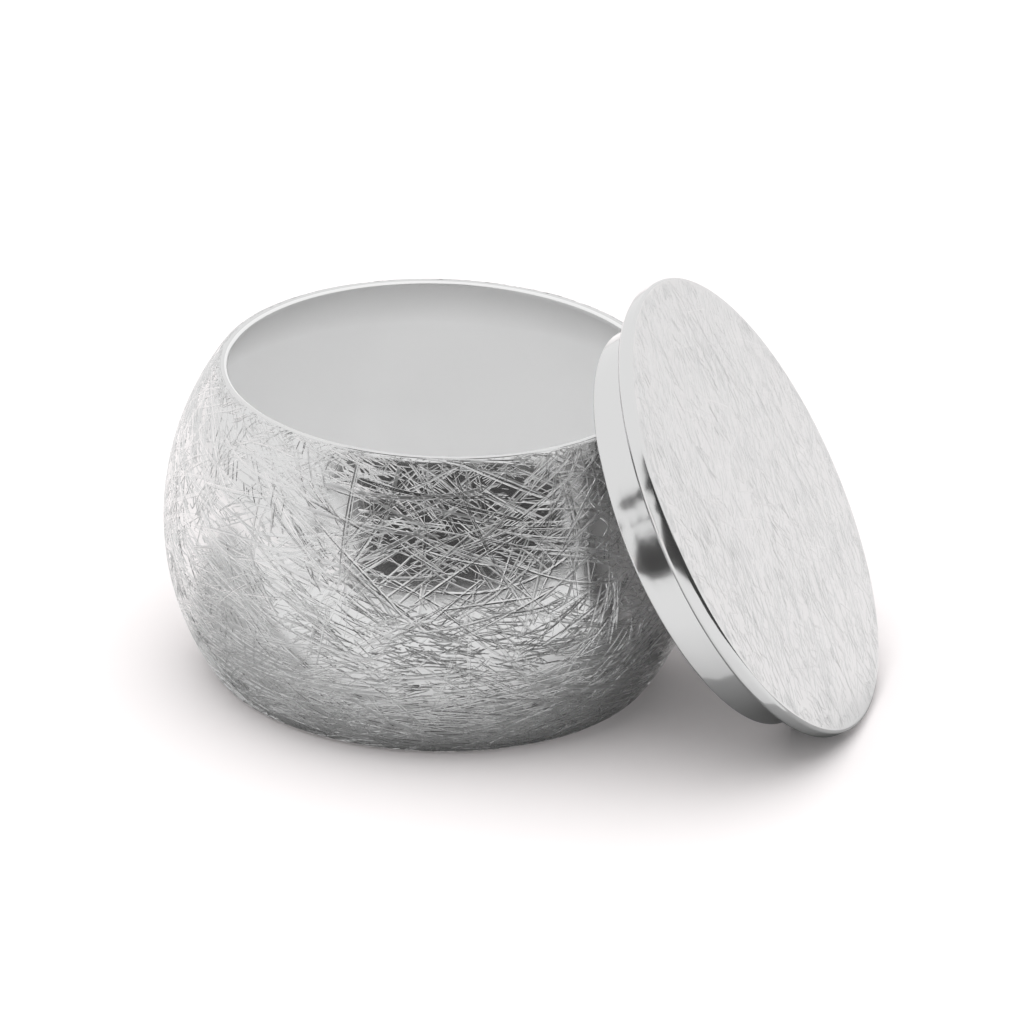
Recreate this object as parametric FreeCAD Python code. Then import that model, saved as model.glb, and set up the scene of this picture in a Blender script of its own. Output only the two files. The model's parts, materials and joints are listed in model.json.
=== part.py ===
import FreeCAD, Part
import math
import os

# A round, pot-bellied silver pill box with its plain lift-off lid standing beside it. The lid stands
# on its edge on the table and leans back against the rim of the open box.
# Sizes are in millimetres and angles in degrees. +Z is up, the origin is the centre of the box's
# flat foot at table height, and the lid leans on the +X side.

# Box: a raised shell with its rim filed flat and its mouth bored true, soldered onto a base plate.
BELLY_RADIUS = 22.5        # outside, at the widest part
BELLY_HEIGHT = 13.15       # from the table to the widest part
FOOT_RADIUS = 18.15        # where the side would meet the table without its rounding
FOOT_ROUND = 1.2
BOX_HEIGHT = 26.45         # from the table to the top of the rim
MOUTH_RADIUS = 17.5
RIM_FLAT = 0.9             # flat top of the rim, between the shoulder and the mouth
SHELL_WALL = 1.0
BASE_THICKNESS = 1.1
LIP_ROUND = 0.15           # burnished edges of the rim and the mouth

# Lid: a flat disc with a collar soldered under it, which plugs into the mouth.
LID_OVERLAP = 2.5          # how far the disc reaches out past the mouth
LID_THICKNESS = 1.5
LID_TOP_ROUND = 0.3
LID_UNDER_ROUND = 0.5
COLLAR_CLEARANCE = 0.15    # radial, between collar and mouth
COLLAR_WALL = 0.8
COLLAR_HEIGHT = 3.8
COLLAR_END_ROUND = 0.2

# How the lid stands.
LEAN_ANGLE = 59.4          # from lying flat
LEAN_GAP = 0.2             # between the leaning lid and the box

UP = FreeCAD.Vector(0, 0, 1)
LEAN_AXIS = FreeCAD.Vector(0, 1, 0)
ORIGIN = FreeCAD.Vector(0, 0, 0)


def point(radius, height):
    """A point of an outline, in the plane that is turned about Z."""
    return FreeCAD.Vector(radius, 0, height)


def arc(centre, radius, start, end):
    """The arc about centre from one angle to another, counted up from the outward direction."""
    def at(angle):
        turn = math.radians(angle)
        return centre + point(radius * math.cos(turn), radius * math.sin(turn))
    return Part.Arc(at(start), at((start + end) / 2), at(end)).toShape()


def turned(edges):
    """The solid that a closed outline makes when it is turned about Z."""
    return Part.Face(Part.Wire(edges)).revolve(ORIGIN, UP, 360)


def ring_edges(solid, radius, height):
    """The round edges of a turned solid that pass through one place of its outline."""
    def passes(edge):
        place = edge.Vertexes[0].Point
        on_radius = abs(math.hypot(place.x, place.y) - radius) < 0.01
        return on_radius and abs(place.z - height) < 0.01 and edge.Length > radius
    return [edge for edge in solid.Edges if passes(edge)]


def shoulder_radius():
    """The arc that leaves the belly upright and runs up and in to the flat of the rim."""
    inward = BELLY_RADIUS - MOUTH_RADIUS - RIM_FLAT
    upward = BOX_HEIGHT - BELLY_HEIGHT
    return (inward**2 + upward**2) / (2 * inward)


def flank_radius():
    """The arc that leaves the belly upright and runs down and in to the foot."""
    inward = BELLY_RADIUS - FOOT_RADIUS
    return (inward**2 + BELLY_HEIGHT**2) / (2 * inward)


def pot_form(inset, floor):
    """The pot as a solid without a mouth: its outside moved in by inset, from floor to rim."""
    flank = flank_radius() - inset
    shoulder = shoulder_radius() - inset
    flank_centre = point(BELLY_RADIUS - flank_radius(), BELLY_HEIGHT)
    shoulder_centre = point(BELLY_RADIUS - shoulder_radius(), BELLY_HEIGHT)
    low_angle = -math.degrees(math.asin((BELLY_HEIGHT - floor) / flank))
    high_angle = math.degrees(math.asin((BOX_HEIGHT - BELLY_HEIGHT) / shoulder))
    edges = [
        arc(flank_centre, flank, low_angle, 0),
        arc(shoulder_centre, shoulder, 0, high_angle),
    ]
    foot = edges[0].Vertexes[0].Point
    crest = edges[-1].Vertexes[-1].Point
    edges.append(Part.makeLine(crest, point(0, crest.z)))
    edges.append(Part.makeLine(point(0, crest.z), point(0, floor)))
    edges.append(Part.makeLine(point(0, floor), foot))
    return turned(edges)


def belly_shell():
    """The raised shell: even wall, flat rim with a bored, burnished lip, open top and bottom."""
    mouth = Part.makeCylinder(MOUTH_RADIUS, BOX_HEIGHT, point(0, BELLY_HEIGHT), UP)
    shell = pot_form(0, BASE_THICKNESS).cut(pot_form(SHELL_WALL, BASE_THICKNESS)).cut(mouth)
    across = MOUTH_RADIUS - BELLY_RADIUS + shoulder_radius()
    bore_end = BELLY_HEIGHT + math.sqrt((shoulder_radius() - SHELL_WALL)**2 - across**2)
    lip = ring_edges(shell, MOUTH_RADIUS + RIM_FLAT, BOX_HEIGHT)
    lip += ring_edges(shell, MOUTH_RADIUS, BOX_HEIGHT)
    lip += ring_edges(shell, MOUTH_RADIUS, bore_end)
    return shell.makeFillet(LIP_ROUND, lip)


def base_plate():
    """The flat plate under the shell, filed flush with it and softened at the table."""
    above = Part.makeCylinder(2 * BELLY_RADIUS, BOX_HEIGHT, point(0, BASE_THICKNESS), UP)
    plate = pot_form(0, 0).cut(above)
    return plate.makeFillet(FOOT_ROUND, ring_edges(plate, FOOT_RADIUS, 0))


def lid_disc():
    """The flat disc, lying on z = 0, with a crisper edge above than below."""
    radius = MOUTH_RADIUS + LID_OVERLAP
    disc = Part.makeCylinder(radius, LID_THICKNESS)
    disc = disc.makeFillet(LID_TOP_ROUND, ring_edges(disc, radius, LID_THICKNESS))
    return disc.makeFillet(LID_UNDER_ROUND, ring_edges(disc, radius, 0))


def lid_collar():
    """The ring below z = 0 that plugs into the mouth, eased at its free end."""
    outside = MOUTH_RADIUS - COLLAR_CLEARANCE
    inside = outside - COLLAR_WALL
    low = point(0, -COLLAR_HEIGHT)
    ring = Part.makeCylinder(outside, COLLAR_HEIGHT, low, UP)
    ring = ring.cut(Part.makeCylinder(inside, COLLAR_HEIGHT, low, UP))
    free_end = ring_edges(ring, outside, -COLLAR_HEIGHT) + ring_edges(ring, inside, -COLLAR_HEIGHT)
    return ring.makeFillet(COLLAR_END_ROUND, free_end)


def leaning(box, lid):
    """Where the lid stands: tipped up on its edge, then slid towards the box until it leans."""
    lean = math.radians(LEAN_ANGLE)
    edge_centre = MOUTH_RADIUS + LID_OVERLAP - LID_UNDER_ROUND
    lift = edge_centre * math.sin(lean) + LID_UNDER_ROUND * (1 - math.cos(lean))
    turn = FreeCAD.Rotation(LEAN_AXIS, LEAN_ANGLE)
    pot = Part.makeCompound(box)
    distance = BELLY_RADIUS + MOUTH_RADIUS + LID_OVERLAP
    spare = distance
    while spare > 0.001:
        stand = FreeCAD.Placement(point(distance, lift), turn)
        leaned = Part.makeCompound([placed(piece, stand) for piece in lid])
        spare = leaned.distToShape(pot)[0] - LEAN_GAP
        distance -= spare
    print("the lid's underside centre stands at", stand.Base, "after turning", LEAN_ANGLE, "degrees")
    return stand


def placed(piece, placement):
    """A copy of a piece, moved to its place."""
    copy = piece.copy()
    copy.Placement = placement
    return copy


box = {"belly_shell": belly_shell(), "base_plate": base_plate()}
lid = {"lid_disc": lid_disc(), "lid_collar": lid_collar()}
stand = leaning(list(box.values()), list(lid.values()))
nodes = dict(box)
for name, piece in lid.items():
    nodes[name] = placed(piece, stand)

os.makedirs("parts", exist_ok=True)
for name, piece in nodes.items():
    print(name, "valid", piece.isValid(), "solids", len(piece.Solids), "volume", round(piece.Volume, 1))
    piece.exportStep(f"parts/{name}.step")
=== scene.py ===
# %% [markdown]
# # A round pill box in scratched sterling silver
# The real box is a pot-bellied shell, raised from silver sheet, with a flat base plate soldered on
# and a flat lid that plugs into its mouth. The whole outside is covered by hand with short strokes
# of a spinning cutter, which leave matte, criss-cross ribbons on polished metal.
# The construction model gives every place and size. This script only dresses it.

# %% Load the construction model
import json
import math

import bpy
import numpy as np
from mathutils import Matrix, Vector


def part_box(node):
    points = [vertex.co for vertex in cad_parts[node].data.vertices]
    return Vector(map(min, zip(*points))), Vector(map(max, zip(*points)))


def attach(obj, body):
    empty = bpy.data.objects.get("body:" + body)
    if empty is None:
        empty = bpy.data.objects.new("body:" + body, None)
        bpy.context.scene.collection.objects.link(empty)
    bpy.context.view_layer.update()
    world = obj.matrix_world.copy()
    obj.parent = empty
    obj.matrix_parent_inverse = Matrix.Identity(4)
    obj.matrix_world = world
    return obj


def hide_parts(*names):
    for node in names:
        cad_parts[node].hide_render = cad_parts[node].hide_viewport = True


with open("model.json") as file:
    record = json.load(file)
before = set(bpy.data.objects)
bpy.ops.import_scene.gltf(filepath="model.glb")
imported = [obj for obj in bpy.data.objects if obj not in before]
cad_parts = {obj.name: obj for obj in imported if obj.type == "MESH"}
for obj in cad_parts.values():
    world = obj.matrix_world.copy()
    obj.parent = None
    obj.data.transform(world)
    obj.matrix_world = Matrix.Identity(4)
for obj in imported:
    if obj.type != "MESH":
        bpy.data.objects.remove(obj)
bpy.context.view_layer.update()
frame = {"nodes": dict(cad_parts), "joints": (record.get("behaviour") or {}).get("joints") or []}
print("nodes:", sorted(frame["nodes"]))

# %% [markdown]
# ## Sizes
# The main sizes are read from the solids, so that the dressed pieces always fit them. A leaning
# lid can't be measured as it stands, so its points are turned back level first. The few arcs that
# a bounding box can't give are repeated here as a silversmith's drawing would give them.

# %% Read the box and the lid
MM = 0.001                      # Blender works in metres, this script counts in millimetres


def extent(points):
    """The lowest and highest corner of some points, in millimetres."""
    places = np.array(points, float) / MM
    return places.min(0), places.max(0)


shell_low, shell_high = extent(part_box("belly_shell"))
belly_radius = shell_high[1]
seam_height = shell_low[2]
box_height = shell_high[2]

lean = math.radians(frame["joints"][0]["range_deg"][1])
level = Matrix.Rotation(-lean, 3, "Y")


def levelled(node):
    """The corners of a lid node, turned back level."""
    return extent([level @ v.co for v in frame["nodes"][node].data.vertices])


disc_low, disc_high = levelled("lid_disc")
collar_low, collar_high = levelled("lid_collar")
lid_radius = (disc_high[1] - disc_low[1]) / 2
lid_thickness = disc_high[2] - disc_low[2]
collar_radius = (collar_high[1] - collar_low[1]) / 2
collar_height = collar_high[2] - collar_low[2]
lid_foot = Vector(((disc_low[0] + disc_high[0]) / 2 * MM, 0, disc_low[2] * MM))
lid_stand = Matrix.Rotation(lean, 4, "Y") @ Matrix.Translation(lid_foot)
print("belly", round(belly_radius, 2), "seam", round(seam_height, 2),
      "height", round(box_height, 2))
print("lid", round(lid_radius, 2), "x", round(lid_thickness, 2),
      "collar", round(collar_radius, 2), "x", round(collar_height, 2))

# %% Repeat the arcs of the outline
BELLY_HEIGHT = 13.15
FOOT_RADIUS = 18.15
FOOT_ROUND = 1.2
MOUTH_RADIUS = 17.5
RIM_FLAT = 0.9
WALL = 1.0
EDGE_ROUND = 0.45               # the rim's outer edge, which the strokes have softened
BORE_ROUND = 0.28               # the mouth's inner edge, worn by the lid's collar
LIP_ROUND = 0.15                # the lower end of the mouth's bore
LID_TOP_ROUND = 0.3
LID_UNDER_ROUND = 0.5
COLLAR_WALL = 0.8
COLLAR_END_ROUND = 0.2
CUT_ROOM = 0.045                # the polished skin lies this far in, burrs end on the drawing
FLAT_CUT_TO = 18.12             # strokes run this far in, to where the flat of the rim begins

foot_inward = belly_radius - FOOT_RADIUS
flank_radius = (foot_inward**2 + BELLY_HEIGHT**2) / (2 * foot_inward)
inward = belly_radius - MOUTH_RADIUS - RIM_FLAT
upward = box_height - BELLY_HEIGHT
shoulder_radius = (inward**2 + upward**2) / (2 * inward)
flank_centre = belly_radius - flank_radius
shoulder_centre = belly_radius - shoulder_radius
edge_height = box_height - EDGE_ROUND
edge_turn = math.asin((edge_height - BELLY_HEIGHT) / (shoulder_radius - EDGE_ROUND))
edge_at = shoulder_centre + (shoulder_radius - EDGE_ROUND) * math.cos(edge_turn)
bore_reach = shoulder_radius - WALL + LIP_ROUND
bore_turn = math.acos((MOUTH_RADIUS + LIP_ROUND - shoulder_centre) / bore_reach)
bore_low = BELLY_HEIGHT + bore_reach * math.sin(bore_turn)
edge_turn, bore_turn = math.degrees(edge_turn), math.degrees(bore_turn)
foot_reach = math.sqrt((flank_radius - FOOT_ROUND)**2 - (BELLY_HEIGHT - FOOT_ROUND)**2)
foot_turn = -math.degrees(math.atan2(BELLY_HEIGHT - FOOT_ROUND, foot_reach))
foot_centre = flank_centre + foot_reach
print("flank arc", round(flank_radius, 2), "shoulder arc", round(shoulder_radius, 2),
      "rim turns at", round(edge_turn, 1), "foot turns at", round(foot_turn, 1))


# %% [markdown]
# ## Turned walls
# The shell, the plate, the disc and the collar are all round. Each could be spun from a drawn
# outline, or lifted off a cylinder and cut. Here a ring of points is drawn out step by step along
# the outline, by extruding and resizing it, as a wall is raised from sheet. That gives even quads,
# a known row for every step, and a closed wall with both of its faces.

# %% An arc of an outline
ARC_STEP = 0.45                 # longest straight step of a large arc, in millimetres
SOFT_STEP = 0.1                 # the same for the roundings of the foot and of the disc
FINE_STEP = 0.05                # and for the small roundings of the rim


def arc(centre, height, radius, start, end, step=ARC_STEP):
    """Points (radius, height) on an arc, from one angle to another."""
    count = max(2, math.ceil(abs(math.radians(end - start)) * radius / step) + 1)
    turns = np.radians(np.linspace(start, end, count))
    return [(centre + radius * math.cos(t), height + radius * math.sin(t)) for t in turns]


def flank_angle(height, radius):
    """The angle on the flank's arc at a height."""
    return -math.degrees(math.asin((BELLY_HEIGHT - height) / radius))


# %% Draw a ring out along an outline
AROUND = 256


def select_none():
    """Back in object mode with nothing selected, because every operator acts on all that is."""
    if bpy.context.mode != "OBJECT":
        bpy.ops.object.mode_set(mode="OBJECT")
    bpy.ops.object.select_all(action="DESELECT")


def raise_ring(name, outline, close):
    """A turned piece. close is "wall" to join its last ring to the first, "caps" to fill both."""
    select_none()
    steps = [(r * MM, z * MM) for i, (r, z) in enumerate(outline)
             if i == 0 or outline[i - 1] != (r, z)]
    radius, height = steps[0]
    bpy.ops.mesh.primitive_circle_add(vertices=AROUND, radius=radius, location=(0, 0, height))
    piece = bpy.context.object
    piece.name = name
    piece.data.name = name
    bpy.ops.object.transform_apply(location=True, rotation=True, scale=True)
    bpy.ops.object.mode_set(mode="EDIT")
    bpy.ops.mesh.select_mode(type="EDGE")
    bpy.ops.mesh.select_all(action="SELECT")
    for (r0, z0), (r1, z1) in zip(steps, steps[1:]):
        bpy.ops.mesh.extrude_edges_move(TRANSFORM_OT_translate={"value": (0, 0, z1 - z0)})
        bpy.ops.transform.resize(value=(r1 / r0, r1 / r0, 1), center_override=(0, 0, z1))
    bpy.ops.mesh.select_all(action="DESELECT")
    bpy.ops.mesh.select_non_manifold()
    if close == "wall":
        bpy.ops.mesh.bridge_edge_loops()
    else:
        bpy.ops.mesh.fill_holes(sides=0)
    bpy.ops.mesh.select_all(action="SELECT")
    bpy.ops.mesh.normals_make_consistent(inside=False)
    select_none()
    print(name, "rings", len(steps), "faces", len(piece.data.polygons))
    return piece, steps


# %% [markdown]
# A scratch pattern has to run over the curved metal at its true size. So each turned piece gets a
# UV map in millimetres: along the ring, and along the outline. A flat disc takes its own plan.

# %% Lay a map in millimetres on a turned piece
def map_turned(piece, steps):
    """u runs round at the belly's length, v runs along the outline. The seam faces the lid."""
    strides = [math.dist(a, b) for a, b in zip(steps, steps[1:])]
    rows = np.concatenate([[0], np.cumsum(strides)]) / MM
    layer = piece.data.uv_layers.new(name="Plan")
    last_row = len(steps) - 1
    for face in piece.data.polygons:
        corners = [piece.data.loops[i].vertex_index for i in face.loop_indices]
        places = [piece.data.vertices[v].co for v in corners]
        turns = [math.atan2(place.y, place.x) % math.tau for place in places]
        if max(turns) - min(turns) > math.pi:
            turns = [t + math.tau if t < math.pi else t for t in turns]
        for loop, vertex, turn in zip(face.loop_indices, corners, turns):
            row = min(vertex // AROUND, last_row)
            layer.data[loop].uv = (turn * belly_radius, rows[row])


def map_plan(piece):
    """The flat plan, for a disc: u and v are x and y, in millimetres."""
    layer = piece.data.uv_layers.new(name="Plan")
    for loop in piece.data.loops:
        place = piece.data.vertices[loop.vertex_index].co
        layer.data[loop.index].uv = (place.x / MM, place.y / MM)


# %% Dress a turned piece
def smooth(piece, degrees):
    """Smooth shading that keeps edges sharper than an angle."""
    select_none()
    piece.select_set(True)
    bpy.context.view_layer.objects.active = piece
    bpy.ops.object.shade_smooth_by_angle(angle=math.radians(degrees))
    select_none()


def dress(piece, steps, finishes, starts=()):
    """Each finish after the first covers from its own row of the outline on."""
    for finish in finishes:
        piece.data.materials.append(finish)
    for panel in piece.data.polygons:
        rows = {v // AROUND for v in panel.vertices}
        panel.material_index = sum(min(rows) >= start for start in starts)
        if rows == {0, len(steps) - 1}:
            panel.material_index = len(starts)
    print(piece.name, "is dressed in", [finish.name for finish in finishes])


# %% [markdown]
# ## Finishes
# The metal is sterling silver, 92.5 % silver with copper: a bright grey mirror when polished. What
# differs from place to place is how it was worked: polished, cut with a matte cutter, burnished
# with a steel, or pickled and left satin. So the finishes are greys of nearly one tone and differ
# in roughness and in their scratches.

# %% Colour and node helpers
def linear(code):
    """An sRGB hex colour as the linear colour that shaders work in."""
    parts = [int(code[i:i + 2], 16) / 255 for i in (1, 3, 5)]
    return [p / 12.92 if p <= 0.04045 else ((p + 0.055) / 1.055)**2.4 for p in parts] + [1.0]


def add(nodes, kind, inputs=None, **settings):
    """One node with its settings. An input that is given a socket is linked, else it is set."""
    node = nodes.new(kind)
    for name, value in settings.items():
        setattr(node, name, value)
    for name, value in (inputs or {}).items():
        if isinstance(value, bpy.types.NodeSocket):
            nodes.id_data.links.new(value, node.inputs[name])
        else:
            node.inputs[name].default_value = value
    return node


def blank(name):
    """A new material's empty node list."""
    material = bpy.data.materials.new(name)
    material.use_nodes = True
    material.node_tree.nodes.clear()
    return material, material.node_tree.nodes


# %% Nodes that every finish needs
MIX_COLOUR_A, MIX_COLOUR_B, MIX_COLOUR_OUT = 6, 7, 2  # a Mix node's sockets share their names
STERLING = "#DEDEDE"            # polished sterling silver


def own_place(nodes, plan):
    """Where on its piece a point is: "UV" in millimetres, "Object" in metres."""
    return add(nodes, "ShaderNodeTexCoord").outputs[plan]


def number_of(nodes, name):
    """A number that the mesh carries at each point."""
    return add(nodes, "ShaderNodeAttribute", attribute_name=name).outputs["Fac"]


def noise(nodes, scale, detail):
    """Cloudy noise through the whole piece."""
    return add(nodes, "ShaderNodeTexNoise", {
        "Vector": own_place(nodes, "Object"),
        "Scale": scale,
        "Detail": detail,
    }).outputs["Fac"]


def drawn_noise(nodes, scale, detail):
    """Flat noise on the map, drawn out into streaks by unequal scales."""
    return add(nodes, "ShaderNodeTexNoise", {
        "Vector": add(nodes, "ShaderNodeMapping", {
            "Vector": own_place(nodes, "UV"),
            "Scale": scale,
        }).outputs["Vector"],
        "Scale": 1.0,
        "Detail": detail,
    }, noise_dimensions="2D").outputs["Fac"]


def span(nodes, value, low, high, start=0.0, end=1.0):
    """A value between start and end, moved to between low and high."""
    return add(nodes, "ShaderNodeMapRange", {
        "Value": value,
        "From Min": start,
        "From Max": end,
        "To Min": low,
        "To Max": high,
    }).outputs["Result"]


def larger(nodes, first, second):
    """The larger of two values."""
    return add(nodes, "ShaderNodeMath", {0: first, 1: second}, operation="MAXIMUM").outputs["Value"]


def blend(nodes, amount, first, second):
    """A colour between two hex ones."""
    return add(nodes, "ShaderNodeMix", {
        "Factor": amount,
        MIX_COLOUR_A: linear(first),
        MIX_COLOUR_B: linear(second),
    }, data_type="RGBA").outputs[MIX_COLOUR_OUT]


def bump(nodes, height, strength, distance, over=None):
    """The direction out of a metal with fine relief. distance is in metres."""
    inputs = {"Height": height, "Strength": strength, "Distance": distance}
    if over is not None:
        inputs["Normal"] = over
    return add(nodes, "ShaderNodeBump", inputs).outputs["Normal"]


def metal(nodes, colour, roughness, relief=None, metallic=1.0):
    """The metal itself, joined to the material's output."""
    inputs = {"Base Color": colour, "Metallic": metallic, "Roughness": roughness}
    if relief is not None:
        inputs["Normal"] = relief
    silver = add(nodes, "ShaderNodeBsdfPrincipled", inputs)
    add(nodes, "ShaderNodeOutputMaterial", {"Surface": silver.outputs["BSDF"]})
    print("finish", nodes.id_data.name, "of", len(nodes), "nodes")


def metal_colour(material):
    """The socket that holds the colour of a material's metal."""
    kinds = {node.type: node for node in material.node_tree.nodes}
    return kinds["BSDF_PRINCIPLED"].inputs["Base Color"]


# %% [markdown]
# Hair scratches are what a buff leaves: straight, a few millimetres long, far thinner than a hair,
# and running every way. Noise that is squeezed across and stretched along gives such lines, and a
# few layers of it at odd angles give the tangle. Real hair scratches are about 0.01 mm wide. They
# are drawn 0.07 to 0.12 mm wide here, or they would not show.

# %% Hair scratches at several angles
LAYER_SHIFT = (7.3, 3.1)        # millimetres from one layer's noise to the next one's
LINE_EDGE = 0.12                # how much of the noise's height a line takes to fade in


def hair_lines(nodes, angles, length, width, thin):
    """Heights from 0 to 1 of stretched noise, the highest of one layer per angle."""
    plan = own_place(nodes, "UV")
    tallest = None
    for number, angle in enumerate(angles):
        turned = add(nodes, "ShaderNodeMapping", {
            "Vector": plan,
            "Location": (LAYER_SHIFT[0] * number, LAYER_SHIFT[1] * number, 0),
            "Rotation": (0, 0, math.radians(angle)),
        })
        squeezed = add(nodes, "ShaderNodeMapping", {
            "Vector": turned.outputs["Vector"],
            "Scale": (1 / length, 1 / width, 1),
        })
        streaks = add(nodes, "ShaderNodeTexNoise", {
            "Vector": squeezed.outputs["Vector"],
            "Scale": 1.0,
            "Detail": 1.0,
            "Roughness": 0.4,
        }, noise_dimensions="2D")
        lines = span(nodes, streaks.outputs["Fac"], 0.0, 1.0, thin, thin + LINE_EDGE)
        tallest = lines if tallest is None else larger(nodes, tallest, lines)
    return tallest


# %% [markdown]
# Polished skin: sheet silver after buffing with rouge. To the eye it is a mirror with a slight
# haze, and its hair scratches catch the light. It shows between the cut strokes.

# %% Polished skin under the strokes
skin, nodes = blank("polished_sterling_skin")
hairs = hair_lines(nodes, (12, 58, -37, 84), length=2.6, width=0.07, thin=0.58)
hammered = bump(nodes, noise(nodes, 900.0, 3.0), 0.5, 0.00004)
scratched = bump(nodes, hairs, 0.6, 0.00001, over=hammered)
metal(nodes, linear(STERLING), span(nodes, hairs, 0.05, 0.25), scratched)

# %% [markdown]
# Cut strokes: the spinning cutter mills a flat, finely rippled bed. To the eye each stroke has one
# soft tone of its own beside the polished skin, and no two are quite alike. Each stroke carries a
# number in an attribute, which shifts its roughness, and another that says how low on the belly
# it lies, where the strokes are painted a darker grey: painted shade, for the shadowed table that
# the low belly mirrors.

# %% Matte bed of a cut stroke
cut, nodes = blank("cutter_matte_sterling_low_shade")
ripple = bump(nodes, drawn_noise(nodes, (1.5, 9.0, 1.0), 2.0), 0.5, 0.00001)
# Painted shade: strokes low on the belly blend from the sterling grey towards #D4D4D4
tone = blend(nodes, number_of(nodes, "close"), STERLING, "#D4D4D4")
metal(nodes, tone, span(nodes, number_of(nodes, "stroke"), 0.14, 0.34), ripple)

# %% [markdown]
# Satin inside: the shell was pickled white in acid after soldering, then rubbed round with fine
# abrasive. To the eye it is soft and cloudy, with no mirror at all and faint rings. Pickled silver
# is almost a white coat, so half of it is made to scatter light as paint does. Just under the
# mouth its colour turns a little darker grey, which is painted shade under the rim.

# %% Satin inside of the box
# Heights between which the inside's painted shade under the rim deepens
GREYER_FROM, GREYER_TO = 0.0218, 0.0262  # heights under the mouth, in metres
satin, nodes = blank("pickled_satin_sterling")
rings = bump(nodes, drawn_noise(nodes, (0.12, 6.0, 1.0), 3.0), 0.3, 0.00001)
milky = span(nodes, noise(nodes, 160.0, 4.0), 0.46, 0.56, 0.3, 0.7)
metal(nodes, linear("#FAFAFA"), milky, rings, metallic=0.5)

# Painted shade: the shell's inside goes from #FDFDFD to #D4D4D4 towards the mouth
satin_shell = satin.copy()
satin_shell.name = "satin_shell_painted_rim_shade"
nodes = satin_shell.node_tree.nodes
place = add(nodes, "ShaderNodeSeparateXYZ", {"Vector": own_place(nodes, "Object")})
wiped = span(nodes, place.outputs["Z"], 0.0, 1.0, GREYER_FROM, GREYER_TO)
greyer = blend(nodes, wiped, "#FDFDFD", "#D4D4D4")
satin_shell.node_tree.links.new(greyer, metal_colour(satin_shell))

# %% [markdown]
# Burnished edges: the rim's flat, the lid's edge and the solder are rubbed with a polished steel.
# To the eye they are soft mirrors whose reflections waver, because the hand that pressed the steel
# never pressed quite evenly, with a few hair scratches from fitting the lid. On the mouth's inner
# edge the same finish is copied in a brighter tone, a painted highlight for the bright line there.

# %% Burnished lip, edge and solder
burnished, nodes = blank("burnished_sterling")
hairs = hair_lines(nodes, (3, -8, 80), length=4.0, width=0.07, thin=0.62)
pressed = bump(nodes, noise(nodes, 260.0, 1.0), 1.0, 0.00012)
fitted = bump(nodes, hairs, 0.4, 0.00001, over=pressed)
metal(nodes, linear("#DCDCDC"), span(nodes, hairs, 0.14, 0.32), fitted)

# Painted highlight: the mouth's edge takes #F0F0F0, brighter than the burnished #DCDCDC
bright_lip = burnished.copy()
bright_lip.name = "lip_painted_highlight_sterling"
metal_colour(bright_lip).default_value = linear("#F0F0F0")

# %% [markdown]
# Worn collar: a drawn strip, bent round and soldered shut, then rubbed every time the lid goes on.
# To the eye it is a mirror gone soft: its reflections are there but greyed, streaked round the
# ring, and bent by small dents.

# %% Worn collar strip
worn_strip, nodes = blank("worn_drawn_sterling")
rubs = hair_lines(nodes, (0, 2, -3, 86), length=5.0, width=0.12, thin=0.47)
dented = bump(nodes, noise(nodes, 330.0, 2.0), 1.0, 0.00004)
streaked = bump(nodes, rubs, 0.5, 0.00001, over=dented)
tone = blend(nodes, rubs, "#E4E4E4", "#BCBCBC")
metal(nodes, tone, span(nodes, rubs, 0.08, 0.28), streaked)

# %% [markdown]
# Lid face: scratched with the same cutter but with a lighter hand, so most marks are fine and
# shallow. To the eye it is a pale, silky face with a faint grain and only a soft shine.

# %% Lightly scratched lid face
face_finish, nodes = blank("fine_scratched_sterling")
hairs = hair_lines(nodes, (-28, -52, 20, 66, -75), length=3.4, width=0.09, thin=0.54)
metal(nodes, linear("#E1E1E1"), span(nodes, hairs, 0.24, 0.42), bump(nodes, hairs, 0.8, 0.000015))

# %% [markdown]
# The marks on the lid are so shallow that their beds are hardly duller than the face between them.
# To the eye they show by the thin light and dark lines of their burrs.

# %% Bed of a light stroke on the lid
fine_cut, nodes = blank("fine_cutter_sterling")
own = number_of(nodes, "stroke")
metal(nodes, blend(nodes, own, "#E4E4E4", "#DCDCDC"), span(nodes, own, 0.3, 0.42))


# %% [markdown]
# ## The pot
# The shell is one wall of even thickness. Its outline climbs outside from the solder seam over the
# belly to the rim, crosses its filed flat, turns down the short bore of the mouth, and runs back
# down inside. It has four finishes: polished skin outside, a burnished flat, the mouth's edge in a
# brighter tone that is a painted highlight, and satin inside with painted shade under the rim. The
# rim's edges are rounded a little by wear.

# %% Draw the shell's outline
RIM_STEP = 0.08
FLAT_STEP_IN = 0.03             # the flat begins a hair further in than the skin ends
FLAT_ROWS = 2                   # rows of faces on the burnished flat
# The bright edge's brighter colour is a painted highlight
BORE_ROWS = 6                   # rows of faces on the bright edge
skin_low = flank_angle(seam_height, flank_radius - CUT_ROOM)
outside = arc(flank_centre, BELLY_HEIGHT, flank_radius - CUT_ROOM, skin_low, 0)
outside += arc(shoulder_centre, BELLY_HEIGHT, shoulder_radius - CUT_ROOM, 0, edge_turn)[1:]
rim_skin = arc(edge_at, edge_height, EDGE_ROUND - CUT_ROOM, edge_turn, 90, RIM_STEP)[1:]
rim_skin += [(FLAT_CUT_TO, box_height - CUT_ROOM)]
lip = [(FLAT_CUT_TO - FLAT_STEP_IN, box_height)]
lip += arc(MOUTH_RADIUS + BORE_ROUND, box_height - BORE_ROUND, BORE_ROUND, 90, 180, FINE_STEP)
lip += arc(MOUTH_RADIUS + LIP_ROUND, bore_low, LIP_ROUND, 180, 180 + bore_turn, FINE_STEP)
inside_low = flank_angle(seam_height, flank_radius - WALL)
inside = arc(shoulder_centre, BELLY_HEIGHT, shoulder_radius - WALL, bore_turn, 0)[1:]
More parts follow.
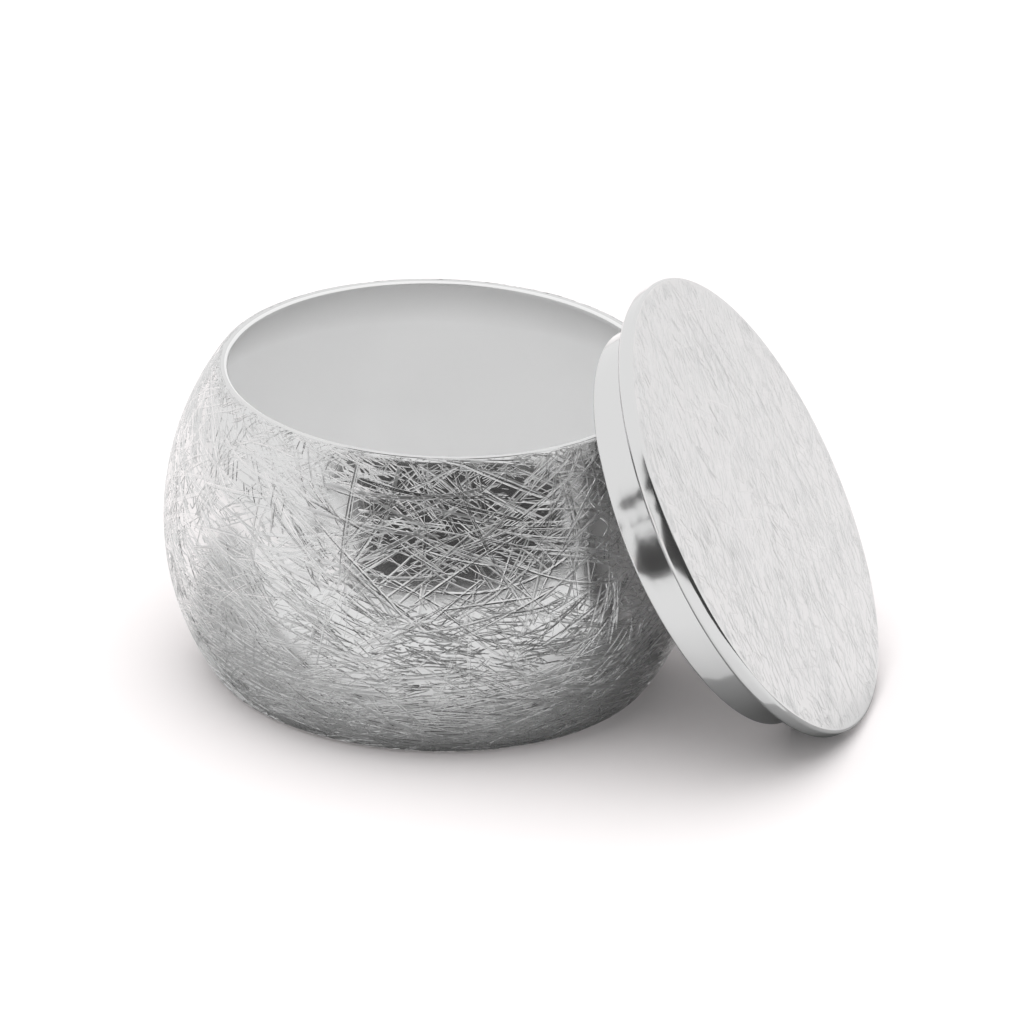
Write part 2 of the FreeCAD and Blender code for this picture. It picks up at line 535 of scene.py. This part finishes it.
inside += arc(flank_centre, BELLY_HEIGHT, flank_radius - WALL, 0, inside_low)[1:]
print("outline of", len(outside + rim_skin + lip + inside), "points")

# %% Raise the shell and dress it, ring by ring
pot_wall, wall_steps = raise_ring("pot_wall", outside + rim_skin + lip + inside, "wall")
map_turned(pot_wall, wall_steps)
flat_from = len(outside) + len(rim_skin) - 1
edge_from = flat_from + FLAT_ROWS
edge_to = edge_from + BORE_ROWS
dress(pot_wall, wall_steps, (skin, burnished, bright_lip, satin_shell),
      (flat_from, edge_from, edge_to))
smooth(pot_wall, 35)
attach(pot_wall, "box")
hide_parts("belly_shell")

# %% [markdown]
# The base plate is a disc, soldered under the shell and filed flush with it, so outside the two
# look like one. Its edge is rounded where it meets the table, and inside it is the satin floor.

# %% Turn the base plate
FOOT_BARE_TO = -78              # the foot's rounding is bare metal to here, in degrees
FOOT_SKIN_FROM = -70            # and from here the skin lies in, under the strokes
FLOOR_RINGS = (16.5, 13.0, 9.0, 5.0, 2.0)  # radii
plate = [(2.0, 0.0), (9.0, 0.0)]
plate += arc(foot_centre, FOOT_ROUND, FOOT_ROUND, -90, FOOT_BARE_TO, SOFT_STEP)
plate += arc(foot_centre, FOOT_ROUND, FOOT_ROUND - CUT_ROOM, FOOT_SKIN_FROM, foot_turn, SOFT_STEP)
plate += arc(flank_centre, BELLY_HEIGHT, flank_radius - CUT_ROOM, foot_turn, skin_low)[1:]
plate_side_to = len(plate) - 1
plate += [(r, seam_height) for r in FLOOR_RINGS]
pot_floor, floor_steps = raise_ring("pot_floor", plate, "caps")
map_plan(pot_floor)
dress(pot_floor, floor_steps, (skin, satin), (plate_side_to,))
smooth(pot_floor, 35)
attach(pot_floor, "box")
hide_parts("base_plate")

# %% [markdown]
# Silver solder creeps into the corner it joins and sets as a tiny hollow fillet. Without it, the
# corner inside the box would look like two parts that merely touch.

# %% Run the solder into a corner
SOLDER_SUNK = 0.05              # the fillet's back edge lies this deep in the corner
SOLDER_BITE = 0.02              # and its ends this deep in the metal


def solder(name, finish, radius, height, outward, upward_by, size):
    """A hollow fillet round a corner: outward and upward_by are +1 or -1, away from the corner."""
    bow = [(radius + outward * size * (1 - math.sin(t)),
            height + upward_by * size * (1 - math.cos(t)))
           for t in np.radians(np.linspace(0, 90, 6))]
    sunk = (radius - outward * SOLDER_SUNK, height - upward_by * SOLDER_SUNK)
    piece, steps = raise_ring(name, bow + [sunk], "wall")
    map_turned(piece, steps)
    dress(piece, steps, [finish])
    smooth(piece, 50)
    return piece


floor_corner = inside[-1][0]
floor_solder = solder("floor_solder", satin, floor_corner + SOLDER_BITE, seam_height, -1, 1, 0.45)
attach(floor_solder, "box")

# %% [markdown]
# ## The lid
# A flat disc with a collar soldered under it. Both are turned level first, with the middle of the
# disc's underside at the origin, and then tipped to where the construction model leans them.

# %% Turn the disc
FACE_LOW = 0.02                 # the scratched face lies a hair low, its burrs reach the top
UNDER_ROWS = 2                  # rows of faces on the satin underside, before the bright edge
TOP_ROUND_TO = 72               # degrees: the top's rounding ends before it is level
TOP_STEP = 0.07
FACE_RINGS = (17.0, 13.0, 9.0, 5.0, 2.0)  # radii
under_at = lid_radius - LID_UNDER_ROUND
crown_at = lid_radius - LID_TOP_ROUND
face_height = lid_thickness - FACE_LOW
disc = [(2.0, 0.0), (10.0, 0.0), (16.0, 0.0)]
disc += arc(under_at, LID_UNDER_ROUND, LID_UNDER_ROUND, -90, 0, SOFT_STEP)
disc += arc(crown_at, lid_thickness - LID_TOP_ROUND, LID_TOP_ROUND, 0, TOP_ROUND_TO, TOP_STEP)
disc_edge_to = len(disc) - 1
disc += [(r, face_height) for r in (crown_at - FACE_LOW, *FACE_RINGS)]
lid_plate, disc_steps = raise_ring("lid_plate", disc, "caps")
map_plan(lid_plate)
dress(lid_plate, disc_steps, (satin, burnished, face_finish), (UNDER_ROWS, disc_edge_to))
smooth(lid_plate, 40)

# %% Turn the collar
END_STEP = 0.06
COLLAR_ROWS = (0.0, -1.3, -2.6)  # heights, from the disc down
collar_inside = collar_radius - COLLAR_WALL
end_height = -collar_height + COLLAR_END_ROUND
ring = [(collar_radius, z) for z in COLLAR_ROWS]
ring += arc(collar_radius - COLLAR_END_ROUND, end_height, COLLAR_END_ROUND, 0, -90, END_STEP)
ring += arc(collar_inside + COLLAR_END_ROUND, end_height, COLLAR_END_ROUND, -90, -180, END_STEP)
ring += [(collar_inside, z) for z in reversed(COLLAR_ROWS)]
lid_ring, ring_steps = raise_ring("lid_ring", ring, "wall")
map_turned(lid_ring, ring_steps)
dress(lid_ring, ring_steps, [worn_strip])
smooth(lid_ring, 35)
collar_solder = solder("collar_solder", burnished, collar_radius - SOLDER_BITE, 0.0, 1, -1, 0.22)

# %% Tip the lid to its place
LID_PARTS = {lid_plate: "scratched_silver_lid", lid_ring: "polished_silver",
             collar_solder: "polished_silver"}
for part, finish_slot in LID_PARTS.items():
    part.data.transform(lid_stand)
    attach(part, "lid")
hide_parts("lid_disc")
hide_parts("lid_collar")
print("the lid leans at", round(math.degrees(lean), 1), "degrees")

# %% [markdown]
# ## Cut strokes
# The scratched texture is real relief: thousands of shallow strokes with a flat bed and a thin
# burr along each side. A bump map could draw it, but bump has no edges that catch light one by
# one, and would be lost in a mesh export. So one stroke is modelled, and copies of it are laid
# over the metal, each bent along its own path. A closed sliver with a keel leaves no gaps.

# %% Model one stroke
BURR = 0.040                    # height of the burr over the polished skin, in millimetres
SKIRT = -0.012                  # the outer foot of the burr, just under the skin
KEEL = -0.11                    # the sliver's lowest line
BURR_OUT = 1.36                 # the burrs stand this much further out than the grid's own lines
TIP_NARROW = 0.65               # width of a stroke one row before its tip


def pick(piece, test):
    """Select the vertices of a mesh in edit mode whose places pass a test."""
    bpy.ops.mesh.select_all(action="DESELECT")
    bpy.ops.object.mode_set(mode="OBJECT")
    for vertex in piece.data.vertices:
        vertex.select = test(vertex.co)
    bpy.ops.object.mode_set(mode="EDIT")


def model_stroke(name, parts, tip, bed):
    """A stroke one unit long and one wide. Its heights are in millimetres, its tips are blunt."""
    select_none()
    # four columns: the grid's lines lie at 0, a quarter and a half to each side
    bpy.ops.mesh.primitive_grid_add(x_subdivisions=parts, y_subdivisions=4, size=1)
    piece = bpy.context.object
    piece.name = name
    bpy.ops.object.mode_set(mode="EDIT")
    bpy.ops.mesh.select_mode(type="VERT")
    for test, height, spread in ((lambda p: abs(p.y) < 0.1, bed, 1.0),
                                 (lambda p: 0.1 < abs(p.y) < 0.4, BURR, BURR_OUT),
                                 (lambda p: abs(p.y) > 0.4, SKIRT, 1.0)):
        pick(piece, test)
        bpy.ops.transform.translate(value=(0, 0, height))
        bpy.ops.transform.resize(value=(1, spread, 1), center_override=(0, 0, 0))
    row = 1 / parts
    shoulder = 0.5 - row
    pick(piece, lambda p: abs(abs(p.x) - shoulder) < row / 3)
    bpy.ops.transform.resize(value=((0.5 - tip) / shoulder, TIP_NARROW, 1),
                             center_override=(0, 0, 0))
    for side in (-0.5, 0.5):
        pick(piece, lambda p: abs(p.x - side) < tip / 3)
        bpy.ops.mesh.merge(type="CENTER")
        pick(piece, lambda p: abs(p.x - side) < tip / 3)
        bpy.ops.transform.resize(value=(1, 1, 0), center_override=(0, 0, SKIRT))
    bpy.ops.mesh.select_all(action="DESELECT")
    bpy.ops.mesh.select_mode(type="EDGE")
    bpy.ops.mesh.select_non_manifold()
    bpy.ops.mesh.extrude_edges_move(TRANSFORM_OT_translate={"value": (0, 0, KEEL - SKIRT)})
    bpy.ops.transform.resize(value=(1, 0, 1), center_override=(0, 0, KEEL))
    bpy.ops.mesh.select_all(action="SELECT")
    bpy.ops.mesh.remove_doubles(threshold=0.0005)
    bpy.ops.mesh.normals_make_consistent(inside=False)
    select_none()
    places = np.array([v.co for v in piece.data.vertices])
    faces = [tuple(p.vertices) for p in piece.data.polygons]
    bpy.data.objects.remove(piece)
    rows = np.unique(places[:, 0].round(4))
    print(name, "vertices", len(places), "faces", len(faces), "rows", len(rows))
    return places, faces, rows


STROKES = {                     # rows, length of the tip, height of the bed
    "long": model_stroke("long_stroke", 14, 0.02, 0.022),
    "middle": model_stroke("middle_stroke", 8, 0.03, 0.016),
    "short": model_stroke("short_stroke", 4, 0.07, 0.012),
}

# %% [markdown]
# A path on the pot is walked in small steps: so much round, so much up. The outline gives the
# place and the direction straight out of the metal at each step. On the flat face of the lid the
# walk is plain, only at its edge it bends over the rounding.

# %% Where a path runs on the pot
CUT_FROM = -66                  # strokes reach this far round the foot, in degrees
WALK_STEP = 0.02
FLAT_WALK_STEP = 0.05
walk = arc(foot_centre, FOOT_ROUND, FOOT_ROUND, CUT_FROM, foot_turn, WALK_STEP)
walk_out = list(np.linspace(CUT_FROM, foot_turn, len(walk)))
for centre, height, radius, start, end in (
        (flank_centre, BELLY_HEIGHT, flank_radius, foot_turn, 0),
        (shoulder_centre, BELLY_HEIGHT, shoulder_radius, 0, edge_turn),
        (edge_at, edge_height, EDGE_ROUND, edge_turn, 90)):
    leg = arc(centre, height, radius, start, end, WALK_STEP)
    walk += leg[1:]
    walk_out += list(np.linspace(start, end, len(leg)))[1:]
walk += [(r, box_height) for r in np.arange(edge_at, FLAT_CUT_TO, -FLAT_WALK_STEP)[1:]]
walk_out += [90.0] * (len(walk) - len(walk_out))
walk = np.array(walk)
walk_out = np.radians(walk_out)
walk_length = np.concatenate([[0], np.cumsum(np.hypot(*np.diff(walk, axis=0).T))])
print("outline from foot to rim", round(walk_length[-1], 2), "mm")


# %% Walk along many paths at once
def heading_along(heading, curl, length, rows):
    """How far along each path its rows lie, and which way the path heads there."""
    along = rows[None, :] * length[:, None]
    return along, heading[:, None] + curl[:, None] * along


def on_pot(start_turn, start_height, heading, curl, length, rows):
    """Places and outward directions along many paths on the pot's polished skin."""
    along, way = heading_along(heading, curl, length, rows)
    step = np.diff(along, axis=1)
    middle = len(rows) // 2

    def walked(speed):
        total = np.cumsum((speed[:, 1:] + speed[:, :-1]) / 2 * step, axis=1)
        total = np.concatenate([np.zeros((len(length), 1)), total], axis=1)
        return total - total[:, middle][:, None]

    climb = start_height[:, None] + walked(np.sin(way))
    climb += np.maximum(0, -climb.min(1))[:, None]
    climb -= np.maximum(0, climb.max(1) - walk_length[-1])[:, None]
    radius = np.interp(climb, walk_length, walk[:, 0])
    height = np.interp(climb, walk_length, walk[:, 1])
    out = np.interp(climb, walk_length, walk_out)
    turn = start_turn[:, None] + walked(np.cos(way) / radius)
    outward = np.stack([np.cos(turn) * np.cos(out), np.sin(turn) * np.cos(out), np.sin(out)], -1)
    places = np.stack([np.cos(turn) * radius, np.sin(turn) * radius, height], -1)
    return places - outward * CUT_ROOM, outward


def on_face(start_x, start_y, heading, curl, length, rows):
    """The same on the lid's face, which bends down over its top rounding at the edge."""
    along, way = heading_along(heading, curl, length, rows)
    x = start_x[:, None] + along * np.cos(way)
    y = start_y[:, None] + along * np.sin(way)
    reach = np.maximum(np.hypot(x, y), 0.001)
    over = np.clip((reach - crown_at) / LID_TOP_ROUND, 0, 1.1)
    radius = np.minimum(reach, crown_at) + LID_TOP_ROUND * np.sin(over)
    height = face_height - LID_TOP_ROUND * (1 - np.cos(over))
    outward = np.stack([x / reach * np.sin(over), y / reach * np.sin(over), np.cos(over)], -1)
    places = np.stack([x / reach * radius, y / reach * radius, height], -1)
    return places, outward


# %% Lay copies of a stroke along their paths
PLAN_SHIFT = (31, 17)           # millimetres that part the ripples of one stroke from another's
STROKE_EDGE = 14                # degrees from which an edge of a stroke stays sharp


def lay_strokes(name, finish, template, path, starts, heading,
                curl, length, width, depth, lift, own, close):
    """One mesh of many closed strokes. lift raises each by a little, so that crossings differ."""
    shape, faces, rows = template
    places, outward = path(starts[0], starts[1], heading, curl, length, rows)
    ahead = np.gradient(places, axis=1)
    ahead /= np.linalg.norm(ahead, axis=2, keepdims=True)
    aside = np.cross(outward, ahead)
    row = np.abs(shape[:, 0][:, None] - rows[None, :]).argmin(1)
    across = shape[None, :, 1] * width[:, None]
    tall = shape[None, :, 2] * depth[:, None] + lift[:, None] * (shape[None, :, 2] > SKIRT * 0.9)
    points = places[:, row] + aside[:, row] * across[..., None] + outward[:, row] * tall[..., None]
    count, each = across.shape
    mesh = bpy.data.meshes.new(name)
    mesh.from_pydata((points.reshape(-1, 3) * MM).tolist(), [],
                     [tuple(v + each * i for v in face) for i in range(count) for face in faces])
    # The close number is painted shade: strokes low on the belly take a darker grey from it
    for label, values in (("stroke", own), ("close", close)):
        number = mesh.attributes.new(label, "FLOAT", "POINT")
        number.data.foreach_set("value", np.repeat(values, each).astype(np.float32))
    plan = np.stack([shape[None, :, 0] * length[:, None] + PLAN_SHIFT[0] * own[:, None],
                     across + PLAN_SHIFT[1] * own[:, None]], -1).reshape(-1, 2)
    corners = np.empty(len(mesh.loops), int)
    mesh.loops.foreach_get("vertex_index", corners)
    layer = mesh.uv_layers.new(name="Plan")
    layer.data.foreach_set("uv", plan[corners].astype(np.float32).ravel())
    piece = bpy.data.objects.new(name, mesh)
    bpy.context.scene.collection.objects.link(piece)
    mesh.materials.append(finish)
    smooth(piece, STROKE_EDGE)
    print(name, "strokes", count, "triangles", sum(len(f) - 2 for f in faces) * count)
    return piece


# %% [markdown]
# The hand works in passes: a few parallel strokes, then it turns the work and makes a few more. On
# the shoulder the passes cross steeply, on the lower belly they run nearly level, where the pot is
# turned against the cutter, and they lie closer. The passes are spread evenly, no spot left bare.

# %% Choose the paths on the pot
rng = np.random.default_rng(2610)  # any seed gives as good a pattern
EVEN_STEPS = (0.7548776662, 0.5698402910)  # steps whose places never bunch up
LEANS = (                       # passes of the shoulder: share up to, middle degrees, scatter
    (0.34, 30, 9),
    (0.72, -32, 12),
    (0.80, 75, 12),
    (1.00, -8, 8),
)
LOW_BELLY = (11, 2.5)           # below about this height the passes run level
# Below the first height the strokes lie closer, and take painted shade that deepens over the second
CLOSE_BELOW = 15                # below this height they lie closer
CLOSE_FADE = 8
MEAN_RADIUS = 20                # of the belly, to turn a step aside into an angle
LEVEL_SHARE, LEVEL_SCATTER, WILD_SCATTER = 0.8, 17, 50  # low on the belly, in degrees
HAND_SCATTER = 5                # degrees between the strokes of one pass
START_ROOM, END_ROOM = 0.2, 0.1  # starts keep off the outline's ends


def pot_passes(count, together, spread, lowest, low_share):
    """Starting points and headings of count strokes, in passes of a few parallel ones."""
    passes = count // together
    wanted = walk[:, 0] * np.where(walk[:, 1] < CLOSE_BELOW, low_share, 1.0)
    wanted = wanted * (walk_length > lowest)
    share = np.cumsum(wanted) / wanted.sum()
    spot = (np.arange(passes)[:, None] * EVEN_STEPS + rng.random(2)) % 1
    height = np.interp(spot[:, 0], share, walk_length)
    turn = spot[:, 1] * math.tau
    low = np.interp(height, walk_length, walk[:, 1]) < rng.normal(*LOW_BELLY, passes)
    kind = rng.random(passes)
    steep = np.select([kind < up_to for up_to, _, _ in LEANS],
                      [rng.normal(middle, scatter, passes) for _, middle, scatter in LEANS])
    level_way = np.where(kind < LEVEL_SHARE, rng.normal(0, LEVEL_SCATTER, passes),
                         rng.normal(0, WILD_SCATTER, passes))
    heading = np.radians(np.where(low, level_way, steep))
    several = np.repeat(np.arange(passes), together)
    shift = rng.normal(0, spread, len(several))
    slide = rng.normal(0, spread, len(several))
    heading = heading[several] + np.radians(rng.normal(0, HAND_SCATTER, len(several)))
    start_height = height[several] + shift * np.cos(heading) + slide * np.sin(heading)
    aside = slide * np.cos(heading) - shift * np.sin(heading)
    start_turn = turn[several] + aside / MEAN_RADIUS
    start_height = np.clip(start_height, max(lowest, START_ROOM), walk_length[-1] - END_ROOM)
    return (start_turn, start_height), heading


# %% Cut the pot
DEPTH_WIDTH = 0.22              # the wider a stroke is against this, the deeper it is
DEPTHS = (0.45, 0.85)           # least and most, as a part of the modelled stroke's height
LOWER = 0.012                   # a crossing lies up to this much lower, in millimetres
RIM_ZONE = walk_length[-1] - 1.5
# Each row: stroke, how many, in one pass, spread of a pass, lengths, widths, bend per millimetre,
# how far up the outline they begin, and their share on the low belly.
POT_CUTS = {
    "long": ("long", 420, 2, 1.4, (7, 18), (0.28, 0.44), 0.028, 0, 0.5),
    "middle_a": ("middle", 1050, 3, 0.9, (4, 10), (0.16, 0.29), 0.035, 0, 0.7),
    "middle_b": ("middle", 1600, 4, 0.7, (2.5, 7), (0.10, 0.19), 0.045, 0, 1.8),
    "short_a": ("short", 4400, 5, 0.6, (1.0, 3.0), (0.07, 0.14), 0.06, 0, 2.2),
    "short_b": ("short", 4400, 5, 0.5, (0.5, 1.8), (0.06, 0.11), 0.08, 0, 2.6),
    "short_c": ("short", 4400, 7, 0.4, (0.3, 1.1), (0.05, 0.09), 0.08, 0, 1.8),
    "rim": ("short", 1000, 3, 0.5, (0.6, 1.8), (0.08, 0.16), 0.05, RIM_ZONE, 1.0),
}
for name, row in POT_CUTS.items():
    kind, count, together, spread, lengths, widths, bend, lowest, low_share = row
    starts, heading = pot_passes(count, together, spread, lowest, low_share)
    number = len(heading)
    own = rng.random(number)
    width = rng.uniform(*widths, number)
    depth = np.clip(width / DEPTH_WIDTH, *DEPTHS)
    height = np.interp(starts[1], walk_length, walk[:, 1])
    strokes = lay_strokes(
        f"pot_strokes_{name}", cut, STROKES[kind], on_pot, starts, heading,
        curl=rng.normal(0, bend, number),
        length=rng.uniform(*lengths, number),
        width=width,
        depth=depth,
        lift=BURR * (1 - depth) - rng.uniform(0, LOWER, number),
        own=own,
        # painted shade: strokes below the height above turn darker grey
        close=np.clip((CLOSE_BELOW - height) / CLOSE_FADE, 0, 1))
    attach(strokes, "box")

# %% [markdown]
# The lid's strokes are finer and mostly run one way across the disc. Some run out over the edge
# and leave it slightly nicked.

# %% Choose the paths on the lid
FACE_EDGE = crown_at + 0.1
OVER_EDGE = crown_at + 0.25     # a stroke's end may reach this far over the edge
MAIN_SHARE, MAIN_LEAN, OTHER_LEAN = 0.7, (-42, 16), (25, 40)  # middle and scatter
LID_HAND_SCATTER = 6
LID_DEPTHS = (0.18, 0.32)       # much shallower than on the pot
LID_LOWER = 0.004
# Each row is as above, but ends with how far from the middle the strokes begin, as a part of the
# radius.
LID_CUTS = {
    "middle": ("middle", 700, 3, 1.8, (2.5, 9), (0.08, 0.18), 0.015, 0),
    "short": ("short", 4200, 4, 1.2, (0.5, 2.0), (0.06, 0.14), 0.04, 0),
    "edge": ("short", 1800, 4, 0.3, (0.4, 1.2), (0.06, 0.12), 0.03, 0.95),
}
for name, row in LID_CUTS.items():
    kind, count, together, spread, lengths, widths, bend, innermost = row
    passes = count // together
    away = np.sqrt(rng.uniform(innermost**2, 1, passes)) * FACE_EDGE
    turn = rng.random(passes) * math.tau
    several = np.repeat(np.arange(passes), together)
    number = len(several)
    heading = np.where(rng.random(passes) < MAIN_SHARE,
                       rng.normal(*MAIN_LEAN, passes), rng.normal(*OTHER_LEAN, passes))
    heading = np.radians(heading[several] + rng.normal(0, LID_HAND_SCATTER, number))
    x = away[several] * np.cos(turn[several]) + rng.normal(0, spread, number)
    y = away[several] * np.sin(turn[several]) + rng.normal(0, spread, number)
    length = rng.uniform(*lengths, number)
    half_x = length / 2 * np.cos(heading)
    half_y = length / 2 * np.sin(heading)
    outermost = np.maximum(np.hypot(x + half_x, y + half_y), np.hypot(x - half_x, y - half_y))
    kept = outermost < OVER_EDGE
    number = int(kept.sum())
    strokes = lay_strokes(
        f"lid_strokes_{name}", fine_cut, STROKES[kind], on_face, (x[kept], y[kept]), heading[kept],
        curl=rng.normal(0, bend, number),
        length=length[kept],
        width=rng.uniform(*widths, number),
        depth=rng.uniform(*LID_DEPTHS, number),
        lift=rng.uniform(-LID_LOWER, 0.0, number),
        own=rng.random(number),
        close=np.zeros(number))
    strokes.data.transform(lid_stand)
    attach(strokes, "lid")

# %% [markdown]
# ## The studio
# A product table: pale floor that runs back into white, soft light all round and one large soft
# lamp overhead. The surroundings light the scene at half the white they are seen at, so that the
# lamp's shadow shows. What a viewer sees, straight or mirrored, is told by the kind of ray.

# %% Tell the rays that are seen
def seen_rays(nodes):
    """1 for rays that a viewer sees, straight, mirrored or through glass, and 1 for mirrored."""
    kinds = add(nodes, "ShaderNodeLightPath").outputs
    seen = kinds["Is Camera Ray"]
    for kind in ("Is Glossy Ray", "Is Transmission Ray"):
        seen = larger(nodes, seen, kinds[kind])
    return seen, kinds["Is Glossy Ray"]


# %% White surroundings
WORLD_LIGHT, WORLD_SEEN = 0.52, 1.0
bpy.context.scene.view_settings.view_transform = "Standard"
world = bpy.data.worlds.new("white_studio")
bpy.context.scene.world = world
world.use_nodes = True
nodes = world.node_tree.nodes
nodes.clear()
seen, _ = seen_rays(nodes)
sky = add(nodes, "ShaderNodeBackground", {
    "Color": (1, 1, 1, 1),
    "Strength": span(nodes, seen, WORLD_LIGHT, WORLD_SEEN),
})
add(nodes, "ShaderNodeOutputWorld", {"Surface": sky.outputs["Background"]})
print("world", world.name, "lights at", WORLD_LIGHT, "and is seen at", WORLD_SEEN)

# %% Pale floor
FLOOR_SIDE = 6.0                # metres
FLOOR_COLOUR = (0.95, 0.915, 0.915, 1)  # very slightly warm
FLOOR_GLOW, FLOOR_GLOW_MIRRORED = 0.04, 0.10  # lifts the table to the white around it
floor_finish, nodes = blank("white_table")
seen, mirrored = seen_rays(nodes)
paper = add(nodes, "ShaderNodeBsdfDiffuse", {"Color": FLOOR_COLOUR})
lift_by = add(nodes, "ShaderNodeMath", {
    0: seen,
    1: span(nodes, mirrored, FLOOR_GLOW, FLOOR_GLOW_MIRRORED),
}, operation="MULTIPLY").outputs["Value"]
glow = add(nodes, "ShaderNodeEmission", {"Color": (1, 1, 1, 1), "Strength": lift_by})
both = add(nodes, "ShaderNodeAddShader", {0: paper.outputs["BSDF"], 1: glow.outputs["Emission"]})
add(nodes, "ShaderNodeOutputMaterial", {"Surface": both.outputs["Shader"]})
select_none()
bpy.ops.mesh.primitive_plane_add(size=FLOOR_SIDE, location=(0, 0, 0))
table = bpy.context.object
table.name = "white_table"
table.data.materials.append(floor_finish)
print("floor", table.name, tuple(round(side, 1) for side in table.dimensions))

# %% [markdown]
# The camera looks down from the front, slightly from the lid's side, and from far off with a long
# lens, so that the round forms aren't stretched. It is rolled by two degrees.

# %% Camera
VIEW_AZIMUTH = math.radians(12.40)
VIEW_HEIGHT = math.radians(24.59)
VIEW_ROLL = math.radians(1.99)
VIEW_DISTANCE = 1.0             # metres
LENS, SENSOR = 426.3, 36        # millimetres
aim = Vector((0.00610, 0.00134, 0.01365))
forward = Vector((-math.sin(VIEW_AZIMUTH) * math.cos(VIEW_HEIGHT),
                  math.cos(VIEW_AZIMUTH) * math.cos(VIEW_HEIGHT),
                  -math.sin(VIEW_HEIGHT)))
across = Vector((math.cos(VIEW_AZIMUTH), math.sin(VIEW_AZIMUTH), 0))
over = across.cross(forward)
right = across * math.cos(VIEW_ROLL) + over * math.sin(VIEW_ROLL)
top = over * math.cos(VIEW_ROLL) - across * math.sin(VIEW_ROLL)
camera_data = bpy.data.cameras.new("studio_camera")
camera_data.sensor_width = SENSOR
camera_data.lens = LENS
camera_data.clip_start = 0.01
camera_data.clip_end = 20
camera = bpy.data.objects.new("studio_camera", camera_data)
bpy.context.scene.collection.objects.link(camera)
camera.matrix_world = Matrix.Translation(aim - forward * VIEW_DISTANCE) @ Matrix(
    (right, top, -forward)).transposed().to_4x4()
bpy.context.scene.camera = camera
print("camera", VIEW_DISTANCE, "m away, lens", LENS, "mm")

# %% [markdown]
# Polished silver takes its look from what stands around it. Dark cards stand in front, with white
# gaps between them, and draw the dark patch that gives the belly its depth. A pale grey card lies
# on the table before the box, for the low belly to mirror, and a duller strip at the foot is
# painted
# shade: it darkens the mirrored table where the box's shadow falls. The cards are only mirrored:
# the camera doesn't see them, and they throw no shadow.

# %% Cards that only the metal mirrors
def paint(name, tone):
    """A matte card paint, from 0 for black to 1 for white."""
    finish, nodes = blank(name)
    card_paint = add(nodes, "ShaderNodeBsdfDiffuse", {"Color": (tone, tone, tone, 1)})
    add(nodes, "ShaderNodeOutputMaterial", {"Surface": card_paint.outputs["BSDF"]})
    return finish


dark, grey, dull = paint("dark_card", 0.07), paint("grey_card", 0.86), paint("foot_shade_card_paint", 0.46)
toward = Vector((math.sin(VIEW_AZIMUTH), -math.cos(VIEW_AZIMUTH), 0))


def set_card(name, finish, corner, along, up):
    """A card from one corner and its two edges, each as (aside, toward the camera, height)."""
    def placed(place):
        return across * place[0] + toward * place[1] + Vector((0, 0, place[2]))

    select_none()
    bpy.ops.mesh.primitive_plane_add(size=1)
    card = bpy.context.object
    card.name = name
    first, second = placed(along), placed(up)
    middle = placed(corner) + (first + second) / 2
    sides = Matrix((first, second, first.cross(second).normalized())).transposed()
    card.data.transform(Matrix.Translation(middle) @ sides.to_4x4())
    card.data.materials.append(finish)
    card.visible_camera = False
    card.visible_shadow = False
    card.visible_diffuse = False


CARDS = {                       # paint, one corner, its edge along, its edge up, in metres
    "front_card": (dark, (-0.057, 0.10, 0.0), (0.257, 0, 0), (0, 0, 0.135)),
    "front_card_corner": (dark, (-0.073, 0.10, 0.050), (0.016, 0, 0), (0, 0, 0.085)),
    "side_card": (dark, (0.20, 0.10, 0.0), (0, -0.08, 0), (0, 0, 0.135)),
    "narrow_card": (dark, (-0.120, 0.10, 0.0), (0.020, 0, 0), (0, 0, 0.050)),
    "high_card": (dark, (-0.120, 0.10, 0.075), (0.047, 0, 0), (0, 0, 0.060)),
    "low_card": (grey, (-0.13, 0.024, 0.0004), (0.33, 0, 0), (0, 0.076, 0)),
    # Painted shade: the dull strip at the foot darkens the mirrored table in the box's shadow
    "foot_shade_card": (dull, (-0.13, 0.0, 0.0004), (0.33, 0, 0), (0, 0.024, 0)),
}
for name, card_row in CARDS.items():
    set_card(name, *card_row)
print("cards:", list(CARDS))

# %% [markdown]
# The lamp is wide and high, so its light wraps the box. Metal would mirror it as a burnt-out spot
# on every rounded stroke and edge, so it lights the scene but isn't mirrored.

# %% Soft lamp
LAMP_SIZE, LAMP_POWER = 1.6, 9.2  # metres, watts
lamp_data = bpy.data.lights.new("soft_key", "AREA")
lamp_data.shape = "DISK"
lamp_data.size = LAMP_SIZE
lamp_data.energy = LAMP_POWER
lamp = bpy.data.objects.new("soft_key", lamp_data)
bpy.context.scene.collection.objects.link(lamp)
lamp.location = (-0.12, -0.02, 0.85)
lamp.visible_glossy = False
lamp.rotation_mode = "QUATERNION"
lamp.rotation_quaternion = (-lamp.location).to_track_quat("-Z", "Y")
print("lamp", LAMP_SIZE, "m wide,", LAMP_POWER, "W")
